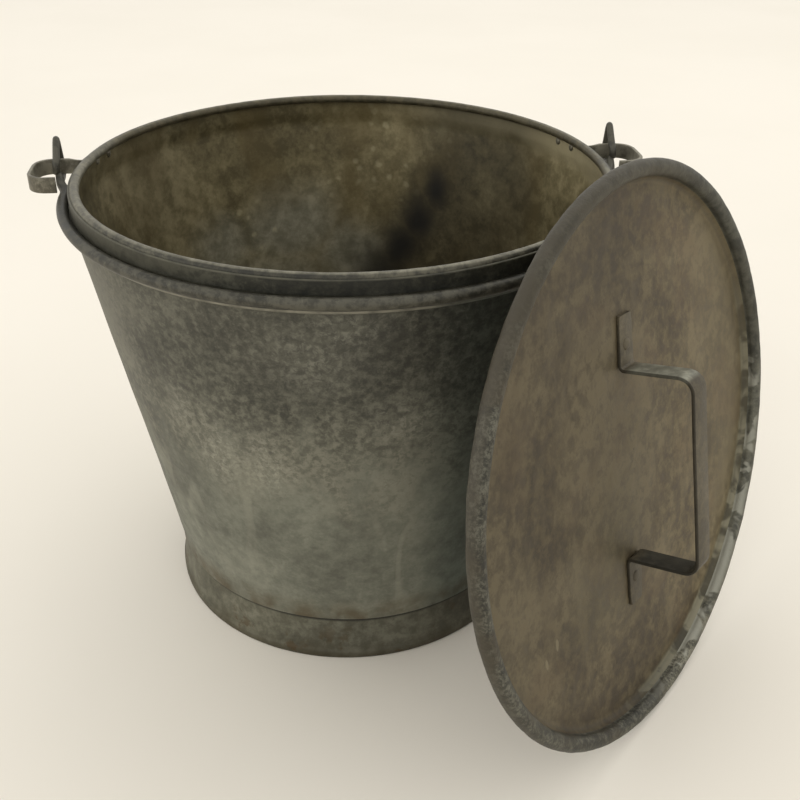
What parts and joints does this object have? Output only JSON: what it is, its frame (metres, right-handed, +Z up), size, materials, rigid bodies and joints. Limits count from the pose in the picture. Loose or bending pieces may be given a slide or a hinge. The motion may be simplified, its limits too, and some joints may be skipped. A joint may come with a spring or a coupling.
{
  "type": "lidded bucket",
  "caption": "Galvanised sheet-steel bucket with a wired rim, foot ring, strap ears, a rod swing bail and a loose round lid with a strap handle.",
  "frame": {"origin": "centre of the foot ring at floor level", "axes": "+Z up along the bucket's axis, X through the two ears, -Y towards the resting bail"},
  "size_m": [0.4448, 0.4136, 0.3091],
  "materials": {
    "zinc_sheet": "dull, weathered zinc",
    "wire": "dull, weathered zinc",
    "dark_zinc": "dull, weathered zinc",
    "rivet": "dull, weathered zinc",
    "bail_rod": "dull, weathered zinc",
    "lid_sheet": "dull, weathered zinc"
  },
  "bodies": {
    "bucket": {"body_shell": "zinc_sheet", "rim_wire": "wire", "rim_band": "dark_zinc", "base_plate": "zinc_sheet", "foot_ring": "zinc_sheet", "foot_wire": "wire", "ear_left": "dark_zinc", "ear_right": "dark_zinc", "ear_rivets_left": "rivet", "ear_rivets_right": "rivet"},
    "bail": {"bail": "bail_rod"},
    "lid": {"lid_pan": "lid_sheet", "lid_wire": "wire", "lid_handle": "lid_sheet", "lid_rivets": "rivet"}
  },
  "joints": [
    {"name": "bail_swing", "type": "hinge", "parent": "bucket", "child": "bail", "pos_m": [0, 0.028, 0.2705], "axis": [-1, 0, 0], "range_deg": [0, 223]},
    {"name": "lid_lift", "type": "slide", "parent": "bucket", "child": "lid", "axis": [0.6866, -0.6914, 0.225], "range_m": [0, 0.25]}
  ]
}
